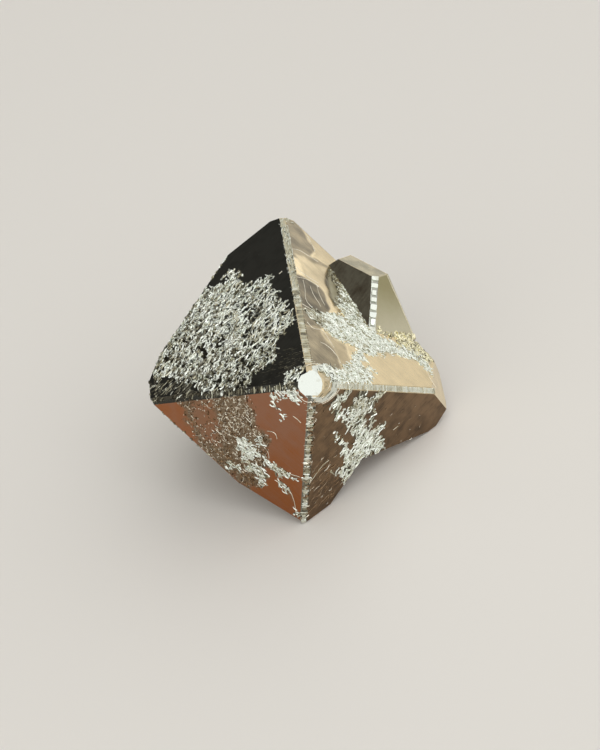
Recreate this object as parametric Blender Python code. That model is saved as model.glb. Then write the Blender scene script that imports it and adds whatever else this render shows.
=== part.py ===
"""Pyrite specimen: a distorted octahedron with bevelled edges and cut-off corners, with a small
second crystal grown through its upper right edge. It lies on the octahedral face behind its lower
right one, and its front corner points to -Y."""

import math

import bmesh
import bpy
from mathutils import Euler, Matrix, Vector

MM = 0.001

# Lengths are in millimetres. A direction is (right, top, front): the three axes of the
# octahedron, which run from its centre to three of its corners.
BLOCK = 200.0             # the block that each crystal is cut from
FRONT_DISTANCE = 14.43    # centre to the four front faces, whose edges meet 25 mm in front of it
EDGE_BEVEL = 0.40         # how far a bevel cuts into a sharp edge
TOLERANCE = 1e-4          # on which side of a cut a corner lies

# The large crystal's eight faces. The back ones are further out at the top than at the bottom.
FACES = {
    "front upper left": ((-1, 1, 1), FRONT_DISTANCE),
    "front upper right": ((1, 1, 1), FRONT_DISTANCE),
    "front lower left": ((-1, -1, 1), FRONT_DISTANCE),
    "front lower right": ((1, -1, 1), FRONT_DISTANCE),
    "back upper left": ((-1, 1, -1), 26.0),
    "back upper right": ((1, 1, -1), 23.4),
    "back lower left": ((-1, -1, -1), 13.0),
    "resting": ((0.4, -1.2, -1), 13.05),
}

# Pairs of those faces whose common edge is a narrow flat.
BEVELLED = (
    ("front upper left", "front upper right"),
    ("front upper right", "front lower right"),
    ("front lower right", "front lower left"),
    ("front lower left", "front upper left"),
    ("back upper left", "back upper right"),
    ("back upper left", "back lower left"),
    ("back lower left", "resting"),
)

# Smaller faces that round the outline off, and the square cuts at the corners.
RIM = {
    "front corner": ((0, 0, 1), 22.45),
    "back corner": ((0, 0, -1), 27.0),
    "top corner": ((0, 1, -0.25), 31.8),
    "bottom corner": ((0, -1, -0.25), 18.9),
    "left corner": ((-1, 0.12, -0.6), 21.9),
    "right corner": ((1, 0, -0.4), 26.2),
    "right corner flat": ((1, 0.25, 0.47), 20.8),
    "right corner lower": ((1, -0.5, -0.4), 24.4),
    "upper left rim": ((-0.7, 1.3, -0.85), 28.3),
    "middle left rim": ((-1.25, 0.66, -0.8), 22.5),
    "lower left rim": ((-1, -1.9, -1), 14.7),
    "upper right rim": ((1.3, 1, -1), 22.5),
}

# The wedge that hollows the lower right edge. Its two faces look into the large crystal.
HOLLOW = {
    "steep side": ((-0.79, 0.47, 0.40), -11.2),
    "flat side": ((-0.19, 0.96, 0.22), -11.4),
}

# The small crystal: where its centre lies in the large one, how it is turned, and its faces.
SMALL_CENTRE = (12.8, 13.8, -6.6)
SMALL_TURN = (34.0, 5.0, -9.0)    # degrees about right, top and front
SMALL_FACES = {
    "front left": ((-1, 1, 1), 6.1),
    "front right": ((1, 1, 1), 6.3),
    "front lower left": ((-1, -1, 1), 8.0),
    "front lower right": ((1, -1, 1), 8.0),
    "back upper left": ((-1, 1, -1), 10.0),
    "back upper right": ((1, 1, -1), 6.5),
    "back lower left": ((-1, -1, -1), 6.0),
    "back lower right": ((1, -1, -1), 6.0),
}
SMALL_BEVELLED = (("front left", "front right"),)
SMALL_RIM = {
    "top corner": ((0, 1, 0), 8.4),
    "right rim": ((1, 0.5, -0.6), 5.5),
}

PYRITE = {"Base Color": (0.545, 0.515, 0.44, 1.0), "Metallic": 1.0, "Roughness": 0.22}


def bevel_cut(faces, first, second):
    """The direction and distance of the flat that cuts off the edge between two faces."""
    one, one_distance = faces[first]
    two, two_distance = faces[second]
    middle = Vector(one).normalized() + Vector(two).normalized()
    return middle, (one_distance + two_distance) / middle.length - EDGE_BEVEL


def all_cuts(faces, bevelled, rim):
    """Every cut of a crystal: its faces, then its bevels, then its rim and corners."""
    bevels = [bevel_cut(faces, first, second) for first, second in bevelled]
    return list(faces.values()) + bevels + list(rim.values())


def cut_block(name, cuts, collection):
    """A block with everything outside each cut taken away, as a new closed object."""
    bm = bmesh.new()
    bmesh.ops.create_cube(bm, size=BLOCK * MM)
    for axes, distance in cuts:
        normal = Vector(axes).normalized()
        parts = bm.verts[:] + bm.edges[:] + bm.faces[:]
        result = bmesh.ops.bisect_plane(bm, geom=parts, dist=TOLERANCE * MM, plane_co=normal * distance * MM,
                                        plane_no=normal, clear_outer=True)
        rim = [part for part in result["geom_cut"] if isinstance(part, bmesh.types.BMEdge)]
        bmesh.ops.edgeloop_fill(bm, edges=rim)
    bmesh.ops.recalc_face_normals(bm, faces=bm.faces[:])
    mesh = bpy.data.meshes.new(name)
    bm.to_mesh(mesh)
    bm.free()
    crystal = bpy.data.objects.new(name, mesh)
    collection.objects.link(crystal)
    return crystal


def as_cutter(cutter):
    """Mark an object as a helper of a Boolean, which isn't part of the model."""
    cutter.hide_render = True
    cutter.display_type = "WIRE"


def add_boolean(target, helper, operation):
    """Join the helper to the target, or cut it away."""
    boolean = target.modifiers.new(helper.name, "BOOLEAN")
    boolean.operation = operation
    boolean.solver = "EXACT"
    boolean.object = helper


def pyrite_material():
    """Brassy grey metal with a natural polish."""
    material = bpy.data.materials.new("pyrite")
    material.use_nodes = True
    shader = material.node_tree.nodes["Principled BSDF"]
    for socket, value in PYRITE.items():
        shader.inputs[socket].default_value = value
    return material


def resting_turn():
    """The turn from the crystal's axes to the world's: resting face down, front corner to -Y."""
    up = -Vector(FACES["resting"][0]).normalized()
    front = Vector((0, 0, 1))
    back = (up * front.dot(up) - front).normalized()
    side = back.cross(up)
    return Matrix((side, back, up)).to_4x4()


def lowest_and_highest(crystal):
    """Corners of the finished object's box in the world."""
    bpy.context.view_layer.update()
    evaluated = crystal.evaluated_get(bpy.context.evaluated_depsgraph_get())
    points = [evaluated.matrix_world @ vertex.co for vertex in evaluated.data.vertices]
    low = Vector([min(point[axis] for point in points) for axis in range(3)])
    high = Vector([max(point[axis] for point in points) for axis in range(3)])
    return low, high


def new_collection(name):
    """An empty collection in the scene."""
    collection = bpy.data.collections.new(name)
    bpy.context.scene.collection.children.link(collection)
    return collection


def main():
    """Build the crystal and set it down with the origin under the middle of its box."""
    for leftover in list(bpy.data.objects):
        bpy.data.objects.remove(leftover, do_unlink=True)
    parts = new_collection("pyrite_specimen")
    cutters = new_collection("cutters")

    crystal = cut_block("pyrite_crystal", all_cuts(FACES, BEVELLED, RIM), parts)
    small = cut_block("small_crystal", all_cuts(SMALL_FACES, SMALL_BEVELLED, SMALL_RIM), cutters)
    small.location = Vector(SMALL_CENTRE) * MM
    small.rotation_euler = Euler([math.radians(angle) for angle in SMALL_TURN])
    hollow = cut_block("edge_hollow", HOLLOW.values(), cutters)
    for helper in (small, hollow):
        as_cutter(helper)
    add_boolean(crystal, small, "UNION")
    add_boolean(crystal, hollow, "DIFFERENCE")
    crystal.data.materials.append(pyrite_material())

    axes = bpy.data.objects.new("crystal_axes", None)
    parts.objects.link(axes)
    for child in (crystal, small, hollow):
        child.parent = axes
    axes.matrix_world = resting_turn()
    low, high = lowest_and_highest(crystal)
    axes.location -= Vector(((low.x + high.x) / 2, (low.y + high.y) / 2, low.z))


main()
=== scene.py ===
"""Pyrite specimen: the looks of an octahedral crystal, built around its solid model.

The faces get their tarnish, their painted reflections and shadows, growth lines and etched ground, and the
bevelled edges get their steps.
The crust of tiny crystals grows where the photograph shows it, and in patches on the faces that it
doesn't show. A plain studio stands round the crystal."""

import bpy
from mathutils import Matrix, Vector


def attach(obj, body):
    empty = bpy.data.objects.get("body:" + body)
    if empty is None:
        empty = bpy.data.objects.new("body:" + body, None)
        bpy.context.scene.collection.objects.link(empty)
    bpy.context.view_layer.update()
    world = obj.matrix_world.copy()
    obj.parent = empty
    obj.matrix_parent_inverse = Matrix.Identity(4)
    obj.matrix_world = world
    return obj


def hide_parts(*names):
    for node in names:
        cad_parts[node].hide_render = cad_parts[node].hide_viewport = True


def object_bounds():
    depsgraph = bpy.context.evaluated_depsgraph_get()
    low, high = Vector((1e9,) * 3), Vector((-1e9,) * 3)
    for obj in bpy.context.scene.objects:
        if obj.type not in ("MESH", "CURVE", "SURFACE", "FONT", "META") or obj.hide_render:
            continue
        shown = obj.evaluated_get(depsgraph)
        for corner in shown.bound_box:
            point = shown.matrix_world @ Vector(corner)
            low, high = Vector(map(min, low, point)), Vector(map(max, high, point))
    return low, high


bl_info = {
    "name": "Pyrite Specimen",
    "version": (1, 0, 0),
    "blender": (4, 5, 0),
    "location": "3D View > Sidebar > Pyrite",
    "description": "Dresses a pyrite octahedron with crust, stepped edges and tarnish",
    "category": "Add Mesh",
}

import itertools
import math

import bmesh
import bpy
import numpy as np
from bpy.props import FloatProperty, FloatVectorProperty, IntProperty, PointerProperty
from mathutils import Euler, Matrix, Vector

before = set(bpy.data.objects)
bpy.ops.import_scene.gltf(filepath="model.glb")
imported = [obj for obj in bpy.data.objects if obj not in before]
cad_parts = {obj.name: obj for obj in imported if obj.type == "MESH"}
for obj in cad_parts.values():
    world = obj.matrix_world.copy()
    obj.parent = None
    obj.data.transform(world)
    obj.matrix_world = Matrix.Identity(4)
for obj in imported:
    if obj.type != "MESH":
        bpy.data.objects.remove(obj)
cad_low, cad_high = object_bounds()

MM = 0.001
NODE = "pyrite_crystal"
BODY = "root"

# The photograph's frame, in its own pixels, and the lens that takes it.
PHOTO_WIDTH = 600
PHOTO_HEIGHT = 750
SENSOR = 36.0                                   # mm, along the frame's long side
LENS = 74.26                                    # mm
FOCAL = LENS * PHOTO_HEIGHT / SENSOR            # the same in pixels
CAMERA_PLACE = Vector((-33.91, -209.46, 163.15))    # mm
CAMERA_AZIMUTH = math.radians(-9.51)
CAMERA_ELEVATION = math.radians(35.34)
CAMERA_ROLL = math.radians(-15.03)

# Directions on the crystal are (right, top, front), its three axes. It lies on the resting face.
RESTING = (0.4, -1.2, -1)
APEX_DISTANCE = 25.0            # mm, centre to where the four front faces would meet
MERGE = 0.000002                # m, corners nearer than that are one
FLAT_ANGLE = 0.01               # radians, faces that meet flatter than that are one
ON_FLAT = 0.02                  # mm, how near to a face's plane its points lie
FLOOR_GAP = (0.4, 0.9)          # mm above the floor where the crust starts

LARGE_FACES = {
    "upper left": (-1, 1, 1),
    "upper right": (1, 1, 1),
    "lower left": (-1, -1, 1),
    "lower right": (1, -1, 1),
    "apex": (0, 0, 1),
    "back upper left": (-1, 1, -1),
    "back upper right": (1, 1, -1),
    "back lower left": (-1, -1, -1),
    "resting": RESTING,
    "right corner": (1, 0.25, 0.47),
    "middle left rim": (-1.25, 0.66, -0.8),
    "back corner": (0, 0, -1),
}
LARGE_BEVELS = {
    "top bevel": (0, 1, 1),
    "right bevel": (1, 0, 1),
    "left bevel": (-1, 0, 1),
    "bottom bevel": (0, -1, 1),
    "back top bevel": (0, 1, -1),
    "back left bevel": (-1, 0, -1),
}
SMALL_TURN = (34.0, 5.0, -9.0)  # degrees about right, top and front
SMALL_FACES = {
    "small left": (-1, 1, 1),
    "small right": (1, 1, 1),
    "small top": (0, 1, 0),
    "small rim": (1, 0.5, -0.6),
    "small back": (1, 1, -1),
    "small bevel": (0, 1, 1),
}

# Outlines of the crust on the faces, read off the photograph in its own pixels.
UPPER_LEFT_CRUST = (
    (136, 374), (136, 350), (180, 300), (204, 288), (223, 284), (227, 273), (232, 270), (238, 275),
    (242, 286), (249, 288), (256, 284), (262, 279), (268, 279), (269, 287), (278, 296), (281, 304),
    (290, 305), (295, 311), (294, 323), (288, 328), (285, 338), (279, 341), (278, 331), (272, 329),
    (276, 338), (281, 349), (274, 360), (262, 369), (255, 374), (250, 385), (250, 398), (204, 398),
    (198, 385), (180, 380), (160, 379),
)
UPPER_LEFT_LACE = (
    (240, 286), (262, 274), (272, 276), (282, 298), (298, 302), (298, 320), (286, 345), (264, 372),
    (240, 396), (226, 380), (236, 350), (246, 325),
)
UPPER_LEFT_DARK = ((262, 374), (278, 345), (298, 343), (306, 368), (284, 374), (256, 392))
APEX_LEFT_CRUST = (
    (303, 369), (297, 372), (291, 371), (285, 377), (284, 384), (283, 391), (290, 392), (293, 399),
    (297, 405), (300, 400), (297, 391), (296, 384), (298, 376),
)
RIGHT_EDGE_CRUST = (
    (314, 368), (322, 365), (331, 367), (340, 369), (350, 363), (357, 352), (361, 352), (363, 362),
    (370, 369), (377, 376), (374, 383), (350, 385), (333, 385), (328, 375), (318, 372),
)
HOLLOW_CRUST = (
    (359, 438), (368, 435), (377, 436), (384, 442), (386, 447), (377, 452), (366, 459), (359, 466),
    (355, 473), (346, 482), (343, 480), (340, 475), (333, 473), (339, 469), (344, 464), (344, 455),
    (351, 449), (355, 443),
)
LOWER_LEFT_ETCH = (
    (176, 385), (180, 406), (194, 438), (205, 458), (249, 492), (266, 481), (268, 457), (267, 438),
    (256, 422), (249, 394), (249, 385),
)
LOWER_LEFT_WINDOW = ((188, 399), (212, 400), (220, 425), (222, 448), (206, 444), (193, 425))
UPPER_LEFT_BAND = ((146, 380), (160, 382), (180, 382), (196, 388), (204, 397), (146, 400))
# Where the small crystal's shadow falls on the upper right face: painted as duller rough ground and the
# darkest film.
SMALL_SHADOW = ((329, 266), (336, 272), (343, 288), (346, 304), (338, 309), (331, 298), (327, 281))
LOWER_RIGHT_FACE = ((305, 400), (440, 400), (440, 440), (310, 525))
LOWER_RIGHT_STREAKS = (
    (310, 480), (318, 462), (326, 452), (333, 455), (345, 485), (338, 500), (318, 515), (308, 508),
)
BESIDE_SMALL_CRUST = (
    (390, 338), (404, 338), (420, 343), (433, 355), (438, 364), (428, 362), (412, 352), (398, 346),
)

# Outlines of the low terrace beside the front corner, and of the plate on that corner.
APEX_TERRACE = (
    (312, 366), (320, 364), (329, 366), (336, 374), (339, 384), (336, 393), (329, 399), (321, 403),
    (312, 401),
)
TERRACE_MIDDLE = ((318, 370), (325, 372), (331, 378), (332, 385), (330, 392), (324, 397), (312, 397))
PLATE_OUTLINE = (
    (309.5, 370.5), (313.5, 370.5), (318, 373.5), (321.5, 379), (322.5, 384), (321.5, 391),
    (318, 395.5), (305, 395.5), (300.5, 392), (298, 387), (298.3, 380), (301, 375.5), (307, 372.5),
)

# Strokes of crust: each point is x, y and half the width.
UPPER_RIGHT_STROKES = (
    ((305, 310, 1), (314, 314, 4), (325, 319, 8), (341, 328, 12), (354, 334, 12), (367, 340, 12),
     (380, 345, 9), (392, 348, 7), (406, 352, 6), (418, 358, 4), (426, 366, 3), (431, 375, 1)),
    ((334, 372, 2), (338, 379, 4), (340, 386, 3)),
    ((360, 326, 7), (352, 314, 8), (344, 300, 8), (341, 289, 5), (336, 280, 3), (331, 270, 2)),
    ((366, 348, 4), (374, 353, 3), (383, 358, 1)),
    ((281, 217, 2), (286, 218, 3), (291, 221, 1)),
)
LOWER_RIGHT_STROKES = (
    ((351, 389, 2), (344, 395, 3), (337, 400, 4), (336, 408, 4), (337, 417, 2), (337, 421, 1)),
    ((337, 417, 2), (345, 412, 2), (352, 409, 3), (358, 407, 3)),
    ((343, 415, 2), (346, 424, 2), (350, 431, 2), (355, 430, 2)),
    ((365, 389, 4), (361, 399, 5), (359, 409, 8), (356, 419, 9), (360, 431, 7), (361, 443, 6)),
    ((385, 390, 3), (375, 398, 4), (366, 405, 4), (360, 411, 5)),
    ((370, 407, 3), (373, 417, 3), (370, 427, 3), (365, 432, 3)),
    ((382, 425, 2), (377, 430, 3), (370, 436, 4)),
    ((335, 436, 1), (339, 441, 2), (344, 446, 3), (346, 452, 3)),
)
TOP_EDGE_STROKES = (
    ((280, 216, 5), (288, 245, 5), (293, 275, 4), (298, 305, 3), (301, 318, 1)),
)
LEFT_EDGE_STROKES = (
    ((146, 401, 4), (165, 398, 3), (185, 394, 4), (200, 393, 2), (222, 391, 4), (238, 390, 4)),
)
BOTTOM_EDGE_STROKES = (
    ((314, 402, 4), (312, 425, 4), (311, 450, 3), (308, 480, 3), (305, 515, 2)),
)
LOWER_LEFT_STROKES = (
    ((242, 443, 6), (250, 452, 7), (246, 459, 4)),
    ((232, 467, 4), (238, 469, 3)),
    ((256, 469, 4), (264, 476, 6), (262, 483, 3)),
    ((249, 466, 4), (254, 470, 3)),
    ((266, 461, 1), (272, 466, 3), (281, 472, 4), (290, 476, 2), (300, 478, 1)),
    ((276, 480, 1), (281, 484, 2), (287, 489, 2), (291, 494, 1), (294, 504, 1), (297, 514, 2)),
    ((259, 438, 2), (261, 445, 2)),
    ((273, 396, 2), (281, 395, 2), (284, 399, 1), (276, 401, 1), (273, 405, 1)),
    ((275, 408, 1), (281, 410, 1), (285, 416, 2), (282, 419, 1)),
)
SMALL_STROKES = (
    ((378, 327, 1), (381, 333, 2), (388, 337, 3), (399, 338, 4), (408, 341, 7), (415, 348, 9)),
    ((404, 333, 2), (407, 339, 4)),
)

# Growth lines on the faces, read off the photograph: low ridges that catch the light.
GROWTH_LINES = {
    "upper right": (
        ((296, 277), (306, 279), (315, 284), (319, 287)),
        ((303, 280), (305, 290), (306, 300), (313, 309)),
        ((310, 286), (313, 294), (321, 307)),
        ((317, 286), (319, 294), (325, 306)),
        ((302, 304), (309, 308), (313, 310)),
        ((296, 267), (301, 272), (308, 277), (318, 283)),
        ((304, 308), (308, 312), (313, 316), (317, 321), (322, 328)),
        ((307, 322), (313, 328), (321, 330), (326, 335), (331, 343), (334, 348)),
        ((320, 342), (326, 345), (332, 350), (338, 358), (341, 364)),
        ((307, 236), (311, 243), (315, 252)),
        ((290, 249), (298, 250), (307, 255), (318, 262)),
        ((424, 363), (430, 378), (436, 388)),
    ),
    "lower right": (
        ((309, 484), (316, 474), (322, 466), (329, 460)),
        ((393, 430), (398, 426)),
    ),
    "lower left": (
        ((293, 416), (297, 419), (301, 423)),
        ((267, 431), (273, 432), (276, 435), (277, 439)),
        ((275, 480), (282, 485), (288, 490), (292, 495), (295, 505), (296, 514)),
        ((266, 461), (276, 467), (288, 473), (300, 477)),
        ((264, 447), (268, 452), (269, 458)),
    ),
    "upper left": (
        ((257, 371), (265, 365), (274, 357)),
        ((279, 274), (282, 271)),
    ),
    "small right": (
        ((387, 275), (394, 291), (400, 304), (406, 318), (412, 332), (415, 339)),
    ),
}

# Tones of the upper right face, from 0 for grey brown to 1 for bright cream: outline and tone.
UPPER_RIGHT_TONES = (
    (((280, 215), (296, 221), (308, 233), (315, 250), (312, 255), (300, 252), (286, 249)), 0.22),
    (((296, 221), (305, 226), (334, 256), (334, 266), (329, 266), (316, 255), (311, 243)), 0.67),
    (((286, 249), (300, 251), (316, 257), (332, 268), (326, 273), (305, 262), (290, 256)), 0.29),
    (((294, 253), (304, 256), (316, 263), (328, 270), (327, 285), (330, 305), (331, 310), (326, 300),
      (322, 290), (314, 282), (306, 276), (301, 264)), 0.67),
    (((288, 277), (298, 275), (306, 277), (313, 280), (319, 286), (323, 293), (326, 301), (330, 309),
      (327, 315), (313, 312), (296, 306)), 0.05),
    # The small crystal's shadow, painted as the darkest film.
    (((327, 270), (331, 268), (339, 285), (343, 304), (336, 308), (329, 296), (326, 284)), 0.00),
    (((298, 306), (313, 312), (330, 322), (320, 330), (305, 325)), 0.17),
    (((300, 324), (320, 330), (331, 343), (339, 357), (341, 368), (308, 368)), 0.23),
    (((320, 330), (345, 345), (352, 362), (341, 368), (339, 357), (331, 343)), 0.53),
)
CREAM_TONE = 0.92
TERRACE_TONE = 0.6
RIM_TONE = 0.9

# Tones of the smaller flats.
FLAT_TONES = {
    "top bevel": 0.42, "right bevel": 0.6, "left bevel": 0.12, "bottom bevel": 0.15, "small bevel": 0.30,
    "back top bevel": 0.4, "back left bevel": 0.4, "apex": 0.05, "right corner": 0.85,
    "small left": 0.85,
}

# How the tones of single faces run: a lowest tone and its rise, or how far two fades darken a face.
UPPER_LEFT_TONE = (0.3, 0.6)
LOWER_LEFT_DARKENS = (0.9, 0.7)
SMALL_TOP_TONE = (0.18, 0.35)
FINE_TONE = 0.06                # the rise of the finer lumps on the upper right face
TONE_RIM = 1.2                  # pixels, half the soft rim between two of its tones

# Where the films' tones and the crust fade, in pixels: across is x, down is y, and slanting is x - y.
UPPER_LEFT_FADE = (-230, -20)   # slanting
LOWER_LEFT_LOW = (400, 510)     # down
LOWER_LEFT_SIDE = (-240, -165)  # across, leftwards
SMALL_RIGHT_FADE = (280, 335)   # down
CRUST_THINS = (-130, -40)       # slanting

# Smooth noise: the share and the size in mm of each layer's lumps, and the first layer's seed.
HOLES = (((1, 0.75), (0.6, 1.7)), 13)
RAGGED_RIM = (((0.7, 1.6), (0.5, 0.6)), 11)
FILM_TERRACES = (((1, 9.0), (0.4, 3.0)), 21)
WAVER_SEEDS = (22, 23)          # the upper right films' outlines waver across and down
WAVER = 2.0                     # mm and pixels: the size of a waver's lumps, and its reach
FINE = 1.2                      # mm, the finer lumps in a film
FINE_SEED = 24
SMALL_TOP_SEED = 25
HIDDEN_LUMPS = ((1, 7.0), (0.45, 2.2), (0.25, 0.7))
HIDDEN_SEED = 31
SEED_STEP = 10                  # from one hidden face's seed to the next one's
SWELL_SEED = 61
ETCH_SEED = 63
NOISE_CELLS = 32                # the noise repeats after that many lumps

# The levels of a stepped film: how many, their middle and spread, and the part of each that slopes.
FILM_LEVELS = 4.0
LEVEL_MIDDLE = 2.2
LEVEL_SPREAD = 1.6
LEVEL_SLOPE = (0.86, 1.0)

# How the patches of crust and etched ground are laid.
STROKE_REACH = 0.4              # a stroke's rim is that much as ragged as an outline's
HOLE_SOFT = 0.08                # how gently the holes' rims fall off
WINDOW_COVER = 0.65             # how much of the etched ground the window takes away
SMALL_TOP_ROUGH = 0.5           # how rough the small crystal's top is
HIDDEN_RIM = (-0.04, 0.08)      # how gently the hidden patches' rims fall off
THINNED = 0.75                  # how much less ground is etched where the crust is thinnest

# Patterns in the finishes, coarse enough to show in a picture of the whole crystal.
STRIATION = 0.3                 # mm, about the width of each
STRIATION_LENGTH = 12.0         # times as long as wide
STRIATION_SHARE = 0.5           # of the shift of tone, beside the broad clouds
STRIATION_DEPTH = 0.00002       # m
STRIATION_BUMP = 0.10
GRIT = 0.5                      # mm, patches of duller metal
CLOUD = 1.4                     # mm, duller and brighter patches of crust
CLOUD_DRIFT = 1.4               # how far they shift a crystal's tone
GRIT_DULLS = 0.10               # roughness added by the grit
ETCH_DULLS = 0.22               # roughness added where the ground is etched
DARK_END = 0.5                  # the dark ends of two films, as shares of their own colours
BRONZE_END = 0.45
GRAIN_STOPS = (0.0, 0.45, 1.0)  # tones of the dull, the middling and the bright small crystals
DRUSE_ROUGHNESS = 0.17

SIDES = 3                       # corners of each small face
ON_POINT = 0.9                  # least cosine between a flat and a point's normal
ON_FACE = 0.999                 # the same for a small face's normal
SAME_FLAT = 0.9999              # and for a whole flat's
SHARP = math.radians(10)        # an edge that turns further is drawn sharp
ROUGH = 0.5                     # etched ground above this isn't shaded smooth
GRAIN_BLOCK = 4.0               # the block that each shape of grain is cut from
GRAIN_TOLERANCE = 1e-5          # in the same units
SOCKET_KINDS = {float: "NodeSocketFloat", int: "NodeSocketInt", tuple: "NodeSocketVector"}

# The trees: seeds of their random values, and shares of their sizes.
SPIN_SEED = 1
LENGTH_SEED = 2
SHAPE_SEED = 4
TONE_SEED = 5
WIDTH_SEED = 6
SIZE_SEED = 8
LAST_SHAPE = 2                  # the last of the three shapes of grain
STRAND_POINTS = 8
STRAND_SIDES = 4
STRAND_WIDTHS = (0.5, 1.7)      # the thinnest and thickest strand, as shares of the common thickness
SHORTEST = 0.35                 # share of the longest strand
THIN_END = 0.3                  # how thick a strand or ridge is at its ends, as a share of its middle
STEP_TILT = 0.04                # radians, how far an edge's steps tip along it
STEP_TURN = 0.05                # radians, and how far they turn
LINE_SIDES = 6
MOST_POINTS = 4.0e7             # strands a square metre, before the spacing thins them
LINE_WAVES = 1300.0             # windings a metre of the growth lines' wobble
FAR = 100.0                     # mm, beyond the crystal's front
FLOOR_DROP = 0.0002             # m, the floor lies under the crystal by that

# The flats whose films lie in steps.
STEPPED = ("upper right", "back upper left", "back upper right", "back lower left", "middle left rim")

# The share of each hidden flat that has crust.
HIDDEN_CRUST = {
    "back upper left": 0.35, "back upper right": 0.30, "back lower left": 0.45, "middle left rim": 0.30,
    "back corner": 0.5,
}

# What the crusts on the hidden faces share: a row's values after its face and direction.
HIDDEN_LOOK = (1.4, 0.72, 0.5, 1.0, 0.08, 0.1, 0.8)

# Each crust: its face, the direction its strands lie in, how far they turn from that in radians, the
# shares of the common spacing, length and thickness, how much of it is holes, its shift of tone, and
# how far single strands differ from that.
CRUST = {
    "crust_upper_left": ("upper left", (0.4, 1.2, -0.8), 1.1, 0.92, 0.9, 0.92, 0.10, 0.30, 1.1),
    "lace_upper_left": ("upper left", (0.3, 1.2, -0.9), 1.0, 1.0, 1.4, 0.64, 0.34, 0.15, 0.8),
    "dark_streaks": ("upper left", (1.2, 0.3, 0.9), 0.15, 2.6, 2.2, 0.15, 0.2, -0.8, 0.2),
    "crust_upper_right": ("upper right", (2, -1, -1), 0.9, 0.65, 0.55, 0.65, 0.03, 0.35, 0.5),
    "crust_left_edge": ("left bevel", (1, 1, 1), 0.8, 0.8, 0.6, 0.6, 0.10, -0.3, 1.0),
    "crust_bottom_edge": ("bottom bevel", (1, 0.5, 0.5), 1.0, 0.9, 0.5, 0.8, 0.10, 0.2, 0.6),
    "crust_top_edge": ("top bevel", (0, 1, -1), 0.3, 0.9, 0.9, 0.28, 0.0, 0.4, 0.2),
    "crust_small": ("small right", (1, 1, -1), 1.0, 0.55, 0.4, 0.8, 0.05, 0.0, 0.8),
    "crust_beside_small": ("upper right", (1, 1, -1), 1.0, 0.55, 0.4, 0.8, 0.05, -0.1, 0.8),
    "crust_lower_left": ("lower left", (2, -1, 1), 1.0, 0.6, 0.7, 0.78, 0.05, 0.5, 0.6),
    "crust_lower_right": ("lower right", (1, 2, 1), 0.9, 0.9, 0.8, 0.85, 0.12, 0.40, 0.6),
    "crust_back_upper_left": ("back upper left", (1, 1, 0), *HIDDEN_LOOK),
    "crust_back_upper_right": ("back upper right", (1, -1, 0), *HIDDEN_LOOK),
    "crust_back_lower_left": ("back lower left", (1, -1, 0), *HIDDEN_LOOK),
    "crust_middle_left_rim": ("middle left rim", (1, 1, 0), *HIDDEN_LOOK),
    "crust_back_corner": ("back corner", (1, 1, 0), *HIDDEN_LOOK),
    "band_streaks": ("upper left", (1, 1, 0), 0.2, 1.2, 0.9, 0.30, 0.20, -0.2, 0.7),
    "fine_streaks": ("lower right", (1, 1, 0), 0.25, 2.6, 1.3, 0.30, 0.30, -0.35, 0.5),
    "sparks": ("lower right", (1, 1, 0), 0.3, 6.5, 0.4, 0.25, 0.0, -0.2, 0.6),
    "etched_ground": ("lower left", (1, 1, 1), 1.0, 0.40, 0.20, 0.38, 0.05, -0.52, 1.3),
}
# Those that grow on the bare film.
ON_BARE_FILM = ("band_streaks", "dark_streaks", "fine_streaks", "sparks")
# Those with a colour of their own: warm brown, a painted reflection of skin on the lower faces; and golden.
WARM_REFLECTING = ("crust_bottom_edge", "etched_ground", "fine_streaks", "sparks")
GOLDEN = ("crust_small", "crust_beside_small")

# The flats of each finish.
FINISHES = {
    "bevel_pyrite": ("terrace rim", "left bevel", "bottom bevel", "back top bevel", "back left bevel",
                     "apex", "small bevel"),
    "cream_film_pyrite": ("terrace", "top bevel", "right bevel", "right corner", "upper right",
                          "back upper left", "back corner", "small top"),
    "dark_mirror_pyrite": ("upper left", "back upper right"),
    "copper_skin_reflection_pyrite": ("lower left", "resting"),
    "bronze_reflection_pyrite": ("lower right", "back lower left", "middle left rim"),
    "umber_film_pyrite": ("small left",),
    "khaki_tarnish_pyrite": ("small right", "small rim", "small back"),
}
MATERIALS = {flat: finish for finish, flats in FINISHES.items() for flat in flats}

# What both back edges share.
BACK_STEPS = ((0.0, 1.0), 1.0, (0.50, 1.05, 0.20), 0.30, 0.2, 0.6, 0)

# The steps of each edge: the part of the edge from its start share to its end share, the share of
# the common pitch, a step's size along, across and out of the edge in mm, how uneven they are, their
# darkest and lightest tone, and the first of the three shapes that they take.
EDGES = {
    "top bevel": ((0.06, 0.52), 1.05, (0.60, 1.10, 0.10), 0.12, 0.20, 0.70, 0),
    "right bevel": ((0.10, 1.0), 0.85, (0.44, 1.05, 0.12), 0.08, 0.60, 1.2, 2),
    "left bevel": ((0.08, 0.58), 1.0, (0.40, 0.80, 0.30), 0.50, -0.5, 1.10, 0),
    "bottom bevel": ((0.06, 1.0), 0.8, (0.45, 0.90, 0.30), 0.45, 0.1, 1.0, 0),
    "back top bevel": BACK_STEPS,
    "back left bevel": BACK_STEPS,
    "small bevel": ((0.05, 0.97), 2.3, (1.20, 1.15, 0.70), 0.32, 0.75, 1.2, 2),
}

# The share of the common width of each face's growth lines, and their tone.
LINE_LOOKS = {
    "upper right": (2.1, 0.95),
    "lower right": (0.5, 0.6),
    "lower left": (1.2, 1.0),
    "upper left": (0.7, 0.9),
    "small right": (2.0, 1.0),
}
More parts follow.
